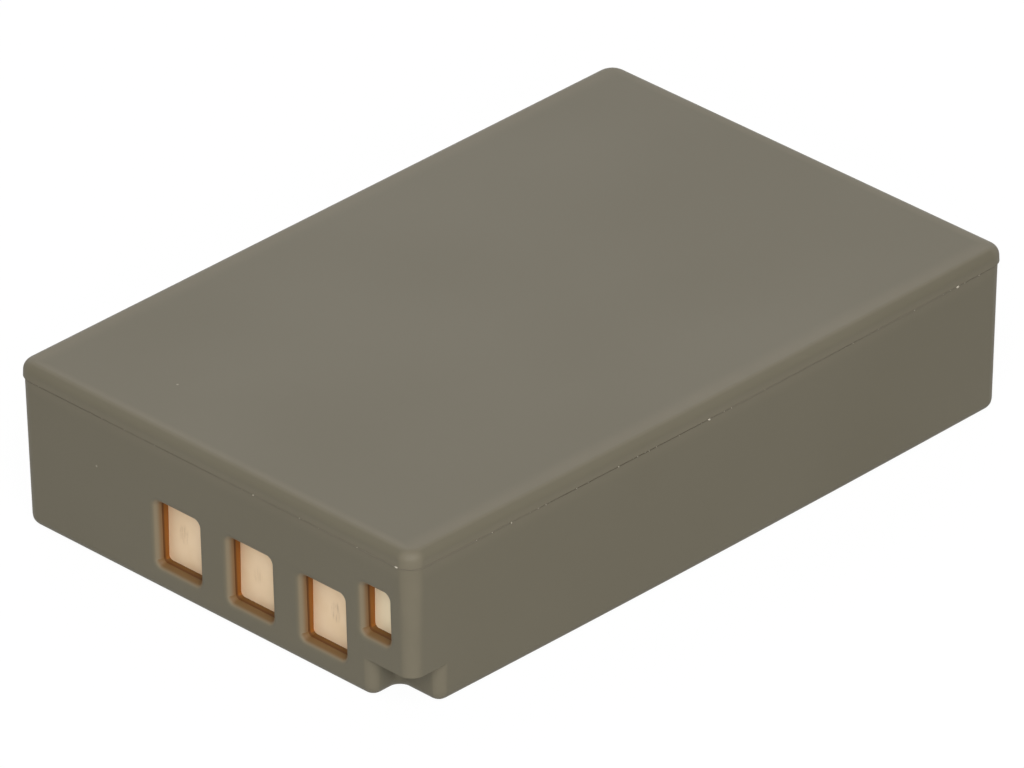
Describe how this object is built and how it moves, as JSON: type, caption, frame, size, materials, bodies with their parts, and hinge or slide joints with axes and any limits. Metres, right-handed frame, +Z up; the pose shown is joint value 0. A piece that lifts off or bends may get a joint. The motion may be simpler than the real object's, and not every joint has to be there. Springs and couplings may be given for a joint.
{
  "type": "camera battery",
  "caption": "Flat rectangular rechargeable camera battery with recessed gold contacts in one end, a key notch in a lower corner and a welded shallow lid.",
  "frame": {"origin": "middle of the underside, at the centre of the pack's outline", "axes": "+Z up from the underside to the lid, +Y along the pack away from the contacts, +X across towards the side with the key notch"},
  "size_m": [0.036, 0.055, 0.0122],
  "materials": {
    "case_plastic": "fine moulded grain, taupe grey",
    "gold_contact": "gold plate, satin",
    "circuit_board": "glass fibre board with green resist",
    "chip_plastic": "moulded chip body",
    "chip_ceramic": "fired ceramic",
    "cell_aluminium": "drawn can",
    "gasket_plastic": "moulded",
    "nickel": "rolled nickel strip",
    "insulating_card": "pressed fibre card",
    "foam_tape": "soft foam tape"
  },
  "bodies": {
    "root": {"lower_case": "case_plastic", "upper_cover": "case_plastic", "contact_positive": "gold_contact", "contact_temperature": "gold_contact", "contact_negative": "gold_contact", "contact_data": "gold_contact", "protection_board": "circuit_board", "protection_ic": "chip_plastic", "switch_mosfets": "chip_plastic", "board_resistors": "chip_ceramic", "board_capacitors": "chip_ceramic", "thermistor": "chip_ceramic", "lower_cell_can": "cell_aluminium", "upper_cell_can": "cell_aluminium", "lower_cell_plug": "cell_aluminium", "upper_cell_plug": "cell_aluminium", "lower_cell_gasket": "gasket_plastic", "upper_cell_gasket": "gasket_plastic", "lower_cell_terminal": "nickel", "upper_cell_terminal": "nickel", "lower_cell_insulator": "insulating_card", "upper_cell_insulator": "insulating_card", "cell_tape": "foam_tape", "base_pad": "foam_tape", "cover_pad": "foam_tape", "end_foam": "foam_tape", "series_link": "nickel", "positive_tab": "nickel", "negative_tab": "nickel", "midpoint_tab": "nickel", "thermal_fuse": "nickel"}
  },
  "joints": []
}
